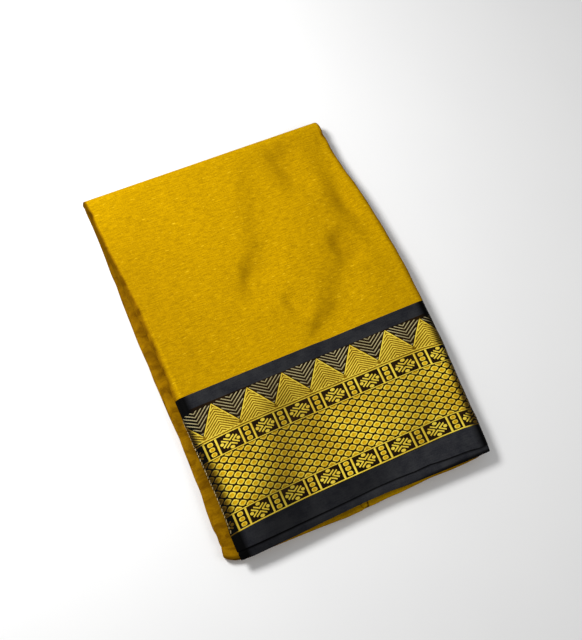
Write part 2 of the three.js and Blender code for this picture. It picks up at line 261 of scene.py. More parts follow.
def upper_section(y, inset=0.0, face_steps=FACE_STEPS):
    """x and z of the upper panel's section at each y, from the right tuck over to the left tuck."""
    right = interpolated("upper_right", y) + edge_wave(y) + pinched(y, RIGHT_PINCHES)
    left = interpolated("upper_left", y) + 0.8 * edge_wave(y - 8) + pinched(y, LEFT_PINCHES)
    left = left - NEAR_SWELL * ramp(y, *NEAR_SWELL_RAMP)
    face_right = right - interpolated("right_round", y)
    face_left = left + interpolated("left_round", y)
    beyond = np.maximum(0, SELVEDGE - y) / UNDER_BAND_SHOWING
    top = interpolated("top", y) - (UNDER_BAND_DROOP * beyond**2 if inset > 0 else 0) - inset
    side_inset = inset - min(inset, UNDER_INSET) * ramp(y, SELVEDGE, -2)
    drop = UPPER_WIDEST - UPPER_SPLIT - inset
    tuck = UPPER_TUCK - inset
    rise_right = top + relief(face_right, y) - UPPER_WIDEST
    rise_left = top + relief(face_left, y) - UPPER_WIDEST
    share = np.linspace(0, 1, face_steps + 1)[1:-1]
    face_x = face_right[:, None] + (face_left - face_right)[:, None] * share
    face_z = top[:, None] + relief(face_x, y[:, None])
    parts = [
        [c[:, :-1] for c in arc(right - UPPER_TUCK, UPPER_WIDEST, tuck, drop, -90, 0, UNDER_STEPS)],
        arc(face_right, UPPER_WIDEST, right - face_right - side_inset, rise_right, 0, 90, ROUND_STEPS,
            CRISP),
        (face_x, face_z),
        arc(face_left, UPPER_WIDEST, face_left - left - side_inset, rise_left, 90, 180, ROUND_STEPS),
        [c[:, 1:] for c in arc(left + UPPER_TUCK, UPPER_WIDEST, tuck, drop, 180, 270, UNDER_STEPS)],
    ]
    return [np.hstack(column) for column in zip(*parts)]


# Wrinkles in the lower panels' folded sides: side, y, height, slant, length, width, depth
SIDE_WRINKLES = [
    (-1, 150, 6, 0.10, 26, 1.3, 0.5),
    (-1, 96, 3.2, -0.14, 40, 1.4, 0.6),
    (-1, 60, 7, 0.16, 30, 1.2, 0.5),
    (-1, 22, 2.6, 0.10, 34, 1.5, 0.7),
    (-1, -14, 6.6, -0.12, 44, 1.5, 0.7),
    (-1, -52, 3, 0.12, 40, 1.4, 0.8),
    (-1, -86, 6.8, 0.16, 38, 1.6, 0.8),
    (-1, -118, 2.8, -0.18, 36, 1.6, 0.9),
    (-1, -140, 7.2, 0.22, 30, 1.5, 0.9),
    (-1, -163, 4.2, -0.30, 26, 1.8, 1),
    (-1, -176, 7, 0.40, 18, 1.5, 0.9),
    (1, 140, 3, 0.12, 40, 1.4, 0.5),
    (1, 84, 6.8, -0.12, 36, 1.3, 0.5),
    (1, 30, 3.1, 0.14, 44, 1.5, 0.6),
    (1, -26, 6.9, 0.12, 38, 1.3, 0.6),
    (1, -80, 2.7, -0.14, 42, 1.5, 0.7),
    (1, -132, 6.8, 0.16, 36, 1.4, 0.7),
    (1, -166, 3, 0.24, 26, 1.5, 0.8),
]
LOBE_STEPS = 11
LOBE_UNEVENNESS = 0.35
BASE_STEPS = 56
LEDGE_LAP = 0.2


def wander(table, x):
    """A shift that runs straight between the pairs of a short table."""
    at, shift = np.array(table, float).T
    return np.interp(x, at, shift)


# How the lower panels' left corner at the near end departs from the solids' outline
NEAR_CORNER = [(-187, -9.4), (-183, -4.3), (-180, -1.2), (-176, 1), (-171, 2.3), (-160, 1.9),
               (-148, 1), (-130, 0)]


def lobe_middle(y, side):
    """The line that a folded side of the lower panels turns round."""
    reach = interpolated("lower_right" if side > 0 else "lower_left", y)
    if side < 0:
        reach = reach + wander(NEAR_CORNER, y)
    return reach - side * LOBE_TUCK


def inmost_edge(y, side):
    """The line, on one side, that both the upper and the lower panels reach beyond."""
    upper = interpolated("upper_right" if side > 0 else "upper_left", y) - side * UPPER_TUCK
    lower = lobe_middle(y, side)
    return np.minimum(upper, lower) if side > 0 else np.maximum(upper, lower)


def lobe(y, side, low, high, start, end):
    """One folded edge of a lower panel, with its wrinkles sunk into it."""
    facing = (start, end) if side > 0 else (180 - start, 180 - end)
    sag = 0.25 * np.sin(y / 14 + side + low) + 0.15 * np.sin(y / 5.7 + low)
    reach = LOBE_TUCK - LOBE_UNEVENNESS * (1 - sag)
    x, z = arc(lobe_middle(y, side), (low + high) / 2, reach, (high - low) / 2, *facing, LOBE_STEPS)
    sunk = np.zeros_like(z)
    for on, cy, cz, slant, length, width, depth in SIDE_WRINKLES:
        if on != side:
            continue
        along = (y - cy)[:, None] / (length / 2)
        across = (z - cz - slant * (y - cy)[:, None]) / width
        sunk += depth * np.exp(-(along**4) - across**2)
    return x - side * sunk * np.abs(np.cos(np.radians(np.linspace(start, end, LOBE_STEPS + 1)))), z


def lower_section(y):
    """x and z of the two lower panels' wrap, from the left ledge under them to the right one."""
    left_ledge = inmost_edge(y, -1) + LEDGE_LAP
    right_ledge = inmost_edge(y, 1) - LEDGE_LAP
    middle = (LOWER_SPLIT, LEDGE_HEIGHT, 90, -NOTCH_ANGLE)
    bottom = (0, LOWER_SPLIT, NOTCH_ANGLE, -90)
    left_middle, left_bottom = (lobe(y, -1, *part) for part in (middle, bottom))
    right_bottom, right_middle = ([c[:, ::-1] for c in lobe(y, 1, *part)] for part in (bottom, middle))
    share = np.linspace(0, 1, BASE_STEPS + 1)[1:-1]
    start = left_bottom[0][:, -1:]
    base_x = start + (right_bottom[0][:, :1] - start) * share
    ledge_z = np.full((len(y), 1), LEDGE_HEIGHT)
    parts = [
        (left_ledge[:, None], ledge_z), left_middle, left_bottom, (base_x, np.zeros_like(base_x)),
        right_bottom, right_middle, (right_ledge[:, None], ledge_z),
    ]
    return [np.hstack(column) for column in zip(*parts)]


def points(x, y, z):
    return np.stack(np.broadcast_arrays(x, y, z), axis=2)


def straight(section, y, **options):
    """A grid of points on the straight run of the packet."""
    x, z = section(y, **options)
    return points(x, y[:, None], z)


FOLD_STEPS = 10


def swung(row, axis, shoulder, depth, direction, above, below):
    """Copies of a section's row swung by up to 90 degrees about the line where two panels meet."""
    height = row[:, 2] - axis
    turn = np.radians(np.linspace(0, 90, FOLD_STEPS + 1)[1:])[:, None]
    swing = np.minimum(np.abs(height) / np.where(height > 0, above, below), 1) * depth
    return points(row[:, 0], shoulder + direction * swing * np.sin(turn), axis + height * np.cos(turn))


def steps_between(start, end, step):
    """Evenly spaced places from start to end, no further apart than step."""
    return np.linspace(start, end, max(2, int(math.ceil(abs(end - start) / step)) + 1))


def grid_normals(grid):
    normal = np.cross(np.gradient(grid, axis=0), np.gradient(grid, axis=1))
    return normal / np.maximum(np.linalg.norm(normal, axis=2, keepdims=True), 1e-9)


def running_lengths(grid, axis):
    """Distance along the cloth to each point, from its middle line."""
    steps = np.linalg.norm(np.diff(grid, axis=axis), axis=2)
    total = np.cumsum(steps, axis=axis)
    total = np.insert(total, 0, 0.0, axis=axis)
    middle = np.take(total, [total.shape[axis] // 2], axis=axis)
    return total - middle


def placed(name, data):
    """A new object, put into the scene."""
    thing = bpy.data.objects.new(name, data)
    bpy.context.scene.collection.objects.link(thing)
    return thing


def build(name, verts, faces, materials, cloth, tone, face_slots=None, sharp=50):
    """A mesh object from points in millimetres, with the cloth's own coordinates and its painted shade.
    """
    mesh = bpy.data.meshes.new(name)
    mesh.from_pydata((np.asarray(verts) * MM).tolist(), [], faces)
    mesh.attributes.new("cloth", "FLOAT_VECTOR", "POINT").data.foreach_set(
        "vector", (np.asarray(cloth, np.float32) * MM).ravel()
    )
    # This attribute carries painted shade: 0 for none, more for deeper shade
    mesh.attributes.new("tone", "FLOAT", "POINT").data.foreach_set(
        "value", np.asarray(tone, np.float32).ravel()
    )
    for material in materials:
        mesh.materials.append(material)
    if face_slots is not None:
        mesh.polygons.foreach_set("material_index", face_slots)
    mesh.shade_smooth()
    mesh.set_sharp_from_angle(angle=math.radians(sharp))
    mesh.update()
    piece = placed(name, mesh)
    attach(piece, "root")
    return piece


def shell(name, outer, thickness, material, tone, seed=0.0):
    """A thin closed sheet of cloth whose outer face is the grid."""
    rows, columns = outer.shape[:2]
    inner = outer - grid_normals(outer) * thickness
    index = np.arange(rows * columns).reshape(rows, columns)
    under = index + rows * columns
    quads = [
        np.stack([index[:-1, :-1], index[1:, :-1], index[1:, 1:], index[:-1, 1:]], axis=2),
        np.stack([under[:-1, :-1], under[:-1, 1:], under[1:, 1:], under[1:, :-1]], axis=2),
    ]
    edges = [
        (index[0, :-1], index[0, 1:], under[0, 1:], under[0, :-1]),
        (index[-1, 1:], index[-1, :-1], under[-1, :-1], under[-1, 1:]),
        (index[1:, 0], index[:-1, 0], under[:-1, 0], under[1:, 0]),
        (index[:-1, -1], index[1:, -1], under[1:, -1], under[:-1, -1]),
    ]
    faces = np.vstack([q.reshape(-1, 4) for q in quads] + [np.stack(e, axis=1) for e in edges])
    u = running_lengths(outer, 1)
    v = outer[..., 1] * 0 + running_lengths(outer, 0)[:, columns // 2][:, None]
    cloth = np.stack([u, v + outer[rows // 2, columns // 2, 1], np.full_like(u, seed)], axis=2)
    cloth = cloth.reshape(-1, 3)
    tones = np.broadcast_to(tone, (rows, columns)).reshape(-1)
    return build(
        name, np.vstack([outer.reshape(-1, 3), inner.reshape(-1, 3)]), faces.tolist(), [material],
        np.vstack([cloth, cloth]), np.concatenate([tones, tones]),
    )


# A wave texture of this scale has one band to the unit
WAVE_SCALE = 0.314


class Shader:
    """A procedural material on one principled shader, with short calls for its nodes."""

    def __init__(self, name, **sockets):
        self.material = bpy.data.materials.new(name)
        self.material.use_nodes = True
        self.nodes = self.material.node_tree.nodes
        self.links = self.material.node_tree.links
        self.bsdf = self.nodes["Principled BSDF"]
        for socket, value in sockets.items():
            self.bsdf.inputs[socket.replace("_", " ")].default_value = value

    def put(self, socket, value):
        if isinstance(value, bpy.types.NodeSocket):
            self.links.new(value, socket)
        else:
            socket.default_value = value

    def node(self, kind, inputs, **settings):
        node = self.nodes.new(kind)
        for name, value in settings.items():
            setattr(node, name, value)
        for key, value in inputs.items():
            self.put(node.inputs[key], value)
        return node

    def cloth(self):
        return self.node("ShaderNodeAttribute", {}, attribute_name="cloth").outputs["Vector"]

    # The painted shade that each mesh carries
    def tone(self):
        return self.node("ShaderNodeAttribute", {}, attribute_name="tone").outputs["Fac"]

    def noise(self, across, along, detail=2.0, rough=0.5, distortion=0.0, place=None):
        """Noise that varies so many times a metre across the packet and along it."""
        inputs = {0: self.cloth() if place is None else place, 1: (across, along, 1)}
        scaled = self.node("ShaderNodeVectorMath", inputs, operation="MULTIPLY").outputs[0]
        inputs = {"Vector": scaled, "Scale": 1.0, "Detail": detail, "Roughness": rough}
        inputs["Distortion"] = distortion
        return self.node("ShaderNodeTexNoise", inputs).outputs["Fac"]

    def math(self, operation, *values):
        return self.node("ShaderNodeMath", dict(enumerate(values)), operation=operation).outputs[0]

    def total(self, *parts):
        """A sum of values, each with its weight."""
        total = 0.0
        for value, weight in parts:
            total = self.math("MULTIPLY_ADD", value, weight, total)
        return total

    def blend(self, factor, first, second):
        inputs = {0: factor, 6: first, 7: second}
        return self.node("ShaderNodeMix", inputs, data_type="RGBA").outputs[2]

    def ramp(self, value, low, high):
        inputs = {"Value": value, "From Min": low, "From Max": high}
        return self.node("ShaderNodeMapRange", inputs, interpolation_type="SMOOTHSTEP").outputs[0]

    def weave(self, pitch):
        """Height of a plain weave with threads one pitch apart."""
        inputs = {"Vector": self.cloth(), "Scale": WAVE_SCALE / pitch, "Distortion": 0.0}
        x, y = (self.node("ShaderNodeTexWave", inputs, bands_direction=way) for way in ("X", "Y"))
        return self.math("MULTIPLY", x.outputs["Fac"], y.outputs["Fac"])

    def bump(self, height, distance, strength):
        inputs = {"Height": height, "Distance": distance, "Strength": strength}
        self.put(self.bsdf.inputs["Normal"], self.node("ShaderNodeBump", inputs).outputs[0])

    def colour(self, value):
        self.put(self.bsdf.inputs["Base Color"], value)


def rgba(red, green, blue):
    return (red, green, blue, 1.0)


SLUB_COLOUR = rgba(0.78, 0.48, 0.010)
# The black that painted shade on the border's ground goes to
SHADE_BLACK = rgba(0.001, 0.001, 0.001)


def body_silk(name, light, dark, shade_light, shade_dark, deepest_shade):
    """Plain silk cotton: slubs run across the packet, fine threads along it.
    A painted shade of 1 gives the painted shade colours of its sides, and one of 2 the deepest painted
    shade colour."""
    s = Shader(name, Roughness=0.6, Sheen_Weight=0.04, Sheen_Roughness=0.4)
    s.bsdf.inputs["Specular IOR Level"].default_value = 0.0
    s.bsdf.inputs["Sheen Tint"].default_value = rgba(1.0, 0.66, 0.03)
    slub = s.noise(120, 900, rough=0.6)
    thread = s.noise(900, 190, rough=0.6)
    cloud = s.noise(30, 24)
    grain = s.noise(1100, 1100, detail=1.0)
    mixed = s.total((thread, 0.24), (slub, 0.46), (cloud, 0.06), (grain, 0.24))
    cloth_colour = s.blend(s.ramp(mixed, 0.31, 0.69), dark, light)
    knots = s.noise(150, 620, detail=1.0)
    cloth_colour = s.blend(s.ramp(knots, 0.65, 0.80), cloth_colour, SLUB_COLOUR)
    mottle = s.noise(75, 95, detail=3.0, rough=0.6, distortion=0.6)
    # The painted shade colours, mottled between a darker and a lighter one
    shade = s.total((mixed, 0.3), (mottle, 0.75))
    shade_colour = s.blend(s.ramp(shade, 0.32, 0.72), shade_dark, shade_light)
    shaded = s.blend(s.tone(), cloth_colour, shade_colour)
    s.colour(s.blend(s.ramp(s.tone(), 1.0, 2.0), shaded, deepest_shade))
    s.bump(s.total((s.weave(0.00075), 0.3), (slub, 0.8)), 0.00030, 0.6)
    return s.material


def border_silk(name, light, dark):
    """The border's satin ground, blue-black, with its threads along the selvedge, and painted shade
    that darkens it to black.
    """
    s = Shader(name, Roughness=0.58)
    s.bsdf.inputs["Specular IOR Level"].default_value = 0.03
    streak = s.noise(90, 1000, rough=0.6)
    cloud = s.noise(52, 60, detail=4.0, rough=0.6)
    grain = s.noise(800, 800, detail=1.0)
    mixed = s.total((cloud, 0.56), (streak, 0.22), (grain, 0.22))
    s.colour(s.blend(s.tone(), s.blend(s.ramp(mixed, 0.34, 0.66), dark, light), SHADE_BLACK))
    s.bump(s.total((s.weave(0.0005), 0.5), (streak, 0.4)), 0.00016, 0.5)
    return s.material


def zari_thread(name, light, dark, shade, roughness, metallic=0.0):
    """Gold thread: short bright floats, uneven in tone from place to place, and blended towards a
    painted shade colour.
    """
    s = Shader(name, Metallic=metallic, Roughness=roughness)
    s.bsdf.inputs["Specular IOR Level"].default_value = 0.12
    s.bsdf.inputs["Specular Tint"].default_value = rgba(1.0, 0.72, 0.12)
    floats = s.noise(1300, 260, rough=0.6)
    mixed = s.total((s.noise(34, 26), 0.55), (floats, 0.55))
    thread_colour = s.blend(s.ramp(mixed, 0.42, 0.70), rgba(*dark), rgba(*light))
    s.colour(s.blend(s.tone(), thread_colour, rgba(*shade)))
    s.bump(s.total((s.weave(0.00055), 0.5), (floats, 0.5)), 0.00018, 0.6)
    return s.material


# Silk colours, light and dark, then the painted shade colours: lighter, darker and deepest
BODY = body_silk(
    "body_silk", rgba(0.65, 0.372, 0.001), rgba(0.34, 0.180, 0.0008),
    rgba(0.305, 0.146, 0.0015), rgba(0.115, 0.045, 0.0010), rgba(0.085, 0.036, 0.0006)
)
GROUND = border_silk("border_silk", rgba(0.0365, 0.0375, 0.0405), rgba(0.0140, 0.0146, 0.0195))
BROCADE_GROUND = border_silk("brocade_silk", rgba(0.0230, 0.0110, 0.0030), rgba(0.0090, 0.0042, 0.0013))
# Each thread's colours: light, dark, then its painted shade colour; then roughness and metal
ZARI = zari_thread("border_zari", (1.0, 0.79, 0.085), (0.74, 0.51, 0.040), (0.06, 0.032, 0.003), 0.42)
ZARI_DEEP = zari_thread(
    "border_zari_deep", (0.76, 0.44, 0.006), (0.50, 0.27, 0.003), (0.03, 0.015, 0.002), 0.5
)
ZARI_SHADOW = zari_thread(
    "border_zari_shadow", (0.30, 0.165, 0.003), (0.14, 0.070, 0.002), (0.02, 0.010, 0.002), 0.6
)
BINDING = zari_thread(
    "border_binding", (0.66, 0.54, 0.30), (0.24, 0.18, 0.08), (0.035, 0.024, 0.008), 0.5
)
PALE_THREAD = zari_thread(
    "border_pale_thread", (0.55, 0.48, 0.25), (0.33, 0.28, 0.14), (0.035, 0.024, 0.008), 0.5, 0.1
)

CLOTH_THICKNESS = 0.45
UNDER_THICKNESS = 0.35
DEEPER_THICKNESS = 0.28
# How far apart the rows of points lie along the packet
ROW_STEP = 1.7
UNDER_ROW_STEP = 1.5
DEEP_ROW_STEP = 3.0
LOWER_ROW_STEP = 2.6

# How the near edges of the border's layers wander across the packet
SELVEDGE_WANDER = [(-130, 0.4), (-108, 0.2), (-38, 0.9), (-9, 1.3), (13, 1.9), (36, 1.6), (54, 0.5),
                   (70, 0.8), (87, -1.1), (104, -2.2), (115, -2.9), (125, -4.6), (142, -4.4)]
UNDER_WANDER = [(-130, 0.3), (-118, -0.6), (-77, 0), (-40, 1.1), (2, 1.7), (25, 1.3), (45, -0.5),
                (90, -2.4), (118, -3.5), (134, -3.3), (142, -2)]
NEAR_WANDER = [(-146, 13.5), (-142, 12), (-138, 9.4), (-132.7, 6.6), (-127.7, 5.6), (-115, 5.4),
               (-102, 4.6), (-46, 2.3), (-22, 0.6), (-5, 0.6), (0.8, 1.6), (5.8, 0.9), (17, 1.2),
               (24, 1.5), (36, 0.9), (47, 1.3), (58, 1.5), (70, 1.9), (81, 1.3), (93, 0.5), (104, 0.4),
               (115, 0.4), (124, 0.9), (136, 2.7)]
# How far the near fold's cloth runs back below the border, which is as far as the wander reaches
NEAR_RUN = 26.0


def drawn_in(grid):
    """The near end drawn in unevenly, less and less further along."""
    fade = ramp(grid[..., 1], NEAR_SHOULDER + NEAR_RUN, -NEAR_RUN)
    grid[..., 1] += wander(NEAR_WANDER, grid[..., 0]) * fade
    return grid


# The small tuck where the near fold meets a fold of the layer inside it: an upright slit, a line
# that slants away from its top, and cloth that slopes up to it from the left
TUCK_PLACE = 1.8
TUCK_LENGTH = 9
SLIT_WIDTH = 0.55
SLIT_DEPTH = 1.5
SLANT = 6.5
SLANT_OFFSET = 0.9
SLANT_WIDTH = 0.6
SLANT_DEPTH = 0.9


def tucked(grid):
    """The near fold with its tuck pressed in, and how deep each point lies in the tuck's two lines."""
    x = grid[..., 0] - TUCK_PLACE
    down = ramp(grid[..., 2], LEDGE_HEIGHT, LOWER_SPLIT - LEDGE_HEIGHT)
    near = ramp(grid[..., 1], NEAR_SHOULDER + TUCK_LENGTH, -6)
    slit = np.exp(-((x / SLIT_WIDTH) ** 2))
    slanted = np.exp(-(((x + SLANT * (1 - down) + SLANT_OFFSET) / SLANT_WIDTH) ** 2))
    slope = unit(1 + x / TUCK_LENGTH) * (x < 0)
    pressed = SLIT_DEPTH * slit + SLANT_DEPTH * slanted
    grid[..., 1] += (pressed + 0.3 * slope) * near
    grid[..., 2] -= (pressed + 1.1 * slope) * near * (1 - down)
    return grid, near * unit(slit + slanted)


# Points from the tuck up to the flat of the upper face
EDGE_STEPS = UNDER_STEPS + ROUND_STEPS
# How high up each side its painted shade reaches, as a share of those points, and how it fades
RIGHT_SIDE = (0.99, -0.38)
LEFT_REACH = 0.88
LEFT_FADE = -0.34
# Along its far part the left side's painted shade reaches higher and is deeper
HIGHER_PART = (10, 60)
HIGHER = 0.20
DEEP_PART = (45, 80)
DEEPER_TONE = 0.7
DEEP_FADE = (1.0, -0.2)


def side_painted_shade(grid):
    """Painted shade round the upper panel's edges: none on top, deep where the cloth turns under."""
    y = grid[:, :1, 1]
    tone = np.zeros(grid.shape[:2])
    place = np.arange(EDGE_STEPS)[None, :] / EDGE_STEPS
    tone[:, :EDGE_STEPS] = ramp(place, *RIGHT_SIDE)
    left = ramp(place, LEFT_REACH + HIGHER * ramp(y, *HIGHER_PART), LEFT_FADE)
    left = left * (1 + DEEPER_TONE * ramp(y, *DEEP_PART) * ramp(place, *DEEP_FADE))
    tone[:, -EDGE_STEPS:] = left[:, ::-1]
    return tone


# Painted shade on the upper face, from its slope against the key light and from patches
SLOPE_SHADE_GAIN = 1.25
PAINTED_SHADE_BASE = 0.05
PAINTED_SHADE_MOST = 0.5
# Painted shade where the upper face lies turned from the light: x, y, heading, length, widths, tone
SHADE_PATCHES = [
    (122, 140, -6, 200, 54, 40, 0.13),
    (-126, 54, 0, 190, 20, 58, 0.24),
    (0, 52, -27, 40, 12, 20, 0.06),
    (94, 52, 20, 30, 9, 13, 0.18),
    (74, 164, -25, 76, 15, 17, 0.12),
]
# The way to the key light
KEY_WAY = np.array([-0.473, 0.494, 0.731])


def slope_shade(grid):
    """Painted shade on the silk, deeper where it slopes away from the key light, and in the table's
    patches.
    """
    slope = KEY_WAY[2] - grid_normals(grid) @ KEY_WAY
    tone = PAINTED_SHADE_BASE + SLOPE_SHADE_GAIN * slope + patches(grid[..., 0], grid[..., 1], SHADE_PATCHES)
    return np.clip(tone, 0, PAINTED_SHADE_MOST)


# Painted shade on the border towards each side fold, where it rolls over
ROLL_LEFT = (13, -7)
ROLL_RIGHT = (12.5, -8)
# Painted shade on the lower band: x, y, heading, length, width, tone
BAND_SHADE = [(-78, -172, -11, 60, 44, 0.66), (2, -172, 0, 60, 40, 0.50)]
# Beyond this y, on the upper band and just below it, the ground is darker all over
UPPER_BAND_START = -45
UPPER_BAND_TONE = 0.22


def band_painted_shade(grid):
    """Painted shade where the border rolls over the two side folds and in the trough near the left; the
    upper band is darker all over.
    """
    x = grid[..., 0]
    y = grid[..., 1]
    tone = ramp(x - x.min(axis=1, keepdims=True), *ROLL_LEFT)
    tone = tone + ramp(x.max(axis=1, keepdims=True) - x, *ROLL_RIGHT)
    return unit(tone + patches(x, y, BAND_SHADE) + UPPER_BAND_TONE * (y > UPPER_BAND_START))


# Body cloth over the upper face and down over the far fold
body_rows = straight(upper_section, steps_between(WOVEN_LINE, FAR_SHOULDER, ROW_STEP))
far_top = interpolated("top", FAR_SHOULDER)
FAR_DIP = 0.5
far_turn = swung(body_rows[-1], UPPER_SPLIT, FAR_SHOULDER, FAR_FOLD_DEPTH, 1,
                 far_top - UPPER_SPLIT - FAR_DIP, UPPER_SPLIT)
body_grid = np.concatenate([body_rows, far_turn])
# Painted shade in the pinch of each side before the far fold
PINCH = 176
PINCH_LENGTH = 4.0
PINCH_REACH = 126
PINCH_TONE = 0.5
in_pinch = np.exp(-(((body_grid[..., 1] - PINCH) / PINCH_LENGTH) ** 2))
in_pinch = in_pinch * (np.abs(body_grid[..., 0]) > PINCH_REACH)
body_painted_shade = np.clip(np.maximum(side_painted_shade(body_grid), slope_shade(body_grid)) + PINCH_TONE * in_pinch, 0, 2)
body_top = shell("saree_body", body_grid, CLOTH_THICKNESS, BODY, body_painted_shade)
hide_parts("body_top")

# The selvedge's wander dies away towards this line. Where the edge runs out furthest it dips, and
# on its upper face it stands up a little towards the right
WANDER_END = BROCADE_END - 3
DIP_START = -2.5
DIP = 0.35
STAND = 0.3
STAND_PART = (-90, 60)
UPPER_FACE = 15


def border_piece(name, node, low, high, seed, material):
    y = steps_between(low, high, ROW_STEP)
    grid = straight(upper_section, y)
    if low == SELVEDGE:
        fade = ramp(y, WANDER_END, SELVEDGE - WANDER_END)[:, None] ** 1.5
        shift = wander(SELVEDGE_WANDER, grid[..., 0])
        stand = STAND * ramp(grid[..., 0], *STAND_PART)
        grid[..., 1] += fade * shift
        grid[..., 2] -= fade**2 * DIP * np.clip(DIP_START - shift, 0, 5)
        grid[..., 2] += fade**3 * stand * (grid[..., 2] > UPPER_FACE)
    piece = shell(name, grid, CLOTH_THICKNESS, material, band_painted_shade(grid), seed)
    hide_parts(node)
    return piece


band_upper = border_piece("border_plain_upper", "border_band_upper", BROCADE_TOP, WOVEN_LINE, 0.1,
                          GROUND)
brocade = border_piece("border_ground", "border_brocade", BROCADE_END, BROCADE_TOP, 0.2,
                       BROCADE_GROUND)
band_lower = border_piece("border_plain_lower", "border_band_lower", SELVEDGE, BROCADE_END, 0.3, GROUND)

# How far under the selvedge the next layers' ends begin to wander
COVERED = 4


def bared(y):
    """0 where the top border covers the layers below it, rising to 1 at their ends."""
    return ramp(y, SELVEDGE + COVERED, -UNDER_BAND_SHOWING - COVERED)[:, None]


# The next layer's border, which ends unevenly beyond the top one's selvedge. It has painted shade
# close to the selvedge, where its own edge rolls under on the right, and towards the left
CONTACT_SHADOW = 1.8
under_y = steps_between(UNDER_SELVEDGE, UNDER_BAND_START, UNDER_ROW_STEP)
under_grid = straight(upper_section, under_y, inset=UNDER_INSET, face_steps=90)
under_x = under_grid[..., 0]
under_ends = wander(UNDER_WANDER, under_x)
under_grid[..., 1] += bared(under_y) * under_ends
past_top = under_grid[..., 1] - SELVEDGE - wander(SELVEDGE_WANDER, under_x)
contact_shadow = ramp(past_top, -CONTACT_SHADOW, CONTACT_SHADOW)
roll_width = 0.7 + 1.9 * ramp(under_x, 40, 60)
rolled_shade = unit(1.6 - (under_grid[..., 1] - UNDER_SELVEDGE - under_ends) / roll_width)
rolled_shade = rolled_shade * ramp(under_x, 20, 40)
in_shade = 0.55 * ramp(under_x, 10, -90) + ramp(under_x, -120, -6)
under_painted_shade = unit(contact_shadow + rolled_shade + in_shade)
under_band = shell("border_under_layer", under_grid, UNDER_THICKNESS, GROUND, under_painted_shade, 0.4)
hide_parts("border_under")

# Layers deeper down: how far inside the top one each lies, how far back it ends, and the phase of
# its end's waves
DEEPER_LAYERS = [(1.65, 0.9, 0.3), (2.05, 1.1, 1.9), (2.45, 0.8, 3.1), (2.85, 1.5, 4.4),
                 (3.25, 1.2, 5.2), (3.6, 1.7, 6.6)]
for number, (inset, back, phase) in enumerate(DEEPER_LAYERS, 1):
    layer_y = steps_between(UNDER_SELVEDGE + back, UNDER_BAND_START, DEEP_ROW_STEP)
    grid = straight(upper_section, layer_y, inset=inset, face_steps=60)
    x = grid[..., 0]
    waves = 0.5 * np.sin(x / 19 + phase) + 0.3 * np.sin(x / 7 + phase)
    grid[..., 1] += bared(layer_y) * (waves + 0.8 * wander(UNDER_WANDER, x) + 0.4)
    layer = shell(f"border_layer_{number}", grid, DEEPER_THICKNESS, GROUND, 0.0, 0.4 + 0.1 * number)
    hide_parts("inner_layers")

# Body cloth round the underside and the folded sides of the lower panels
lower_rows = straight(lower_section, steps_between(NEAR_SHOULDER, FAR_SHOULDER, LOWER_ROW_STEP))
NEAR_TURN = (LOWER_SPLIT, NEAR_SHOULDER, NEAR_FOLD_DEPTH, -1, UPPER_SPLIT - LOWER_SPLIT, LOWER_SPLIT)
near_turn = swung(lower_rows[0], *NEAR_TURN)[::-1]
far_turn = swung(lower_rows[-1], UPPER_SPLIT, FAR_SHOULDER, FAR_FOLD_DEPTH, 1, UPPER_SPLIT, UPPER_SPLIT)
lower_grid = drawn_in(np.concatenate([near_turn, lower_rows, far_turn]))
# Painted shade underneath, round the folded sides and in the notch between two folds
UNDERSIDE_TONE = 0.85
LOBE_TONE = 0.95
NOTCH_TONE = 1.0
NOTCH_COLUMNS = 4
FAR_LOBE_TONE = 0.60
lobe_columns = 2 * (LOBE_STEPS + 1) + 1
lower_painted_shade = np.full(lower_grid.shape[:2], UNDERSIDE_TONE)
lower_painted_shade[:, :lobe_columns] = LOBE_TONE
lower_painted_shade[:, -lobe_columns:] = LOBE_TONE
lower_painted_shade[:, LOBE_STEPS : LOBE_STEPS + NOTCH_COLUMNS] = NOTCH_TONE
lower_painted_shade[:, -LOBE_STEPS - NOTCH_COLUMNS : -LOBE_STEPS] = NOTCH_TONE
# Deeper painted shade along the far part of the left side
lower_painted_shade[:, :lobe_columns] += FAR_LOBE_TONE * ramp(lower_grid[:, :lobe_columns, 1], *DEEP_PART)
body_lower = shell("saree_lower_panels", lower_grid, CLOTH_THICKNESS, BODY, lower_painted_shade, 0.9)
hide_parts("body_lower")

# The near fold's upper half and the cloth that runs back from it below the border
near_y = steps_between(NEAR_SHOULDER, NEAR_SHOULDER + NEAR_RUN, DEEP_ROW_STEP)
right_end = inmost_edge(near_y, 1) - 0.1
left_end = inmost_edge(near_y, -1) + 0.1
# Columns across the fold, closer together round the tuck
near_share = np.unique(np.concatenate([np.linspace(0, 1, 201), np.linspace(0.46, 0.53, 81)]))
near_x = right_end[:, None] + (left_end - right_end)[:, None] * near_share
near_z = LEDGE_HEIGHT - 0.1 * (1 + np.sin(near_x / 9))
near_rows = points(near_x, near_y[:, None], near_z)
near_fold_turn = swung(near_rows[0], *NEAR_TURN)[::-1]
near_grid, in_tuck = tucked(drawn_in(np.concatenate([near_fold_turn, near_rows])))
# Painted shade along the near fold across the packet, and in the tuck's two lines
NEAR_SHADE = [(-140, 0.85), (-90, 0.7), (-12, 0.45), (2, 0.2), (40, 0.25), (80, 0.7)]
near_painted_shade = np.maximum(wander(NEAR_SHADE, near_grid[..., 0]), in_tuck)
near_fold = shell("saree_near_fold", near_grid, CLOTH_THICKNESS, BODY, near_painted_shade, 0.7)
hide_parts("near_fold")

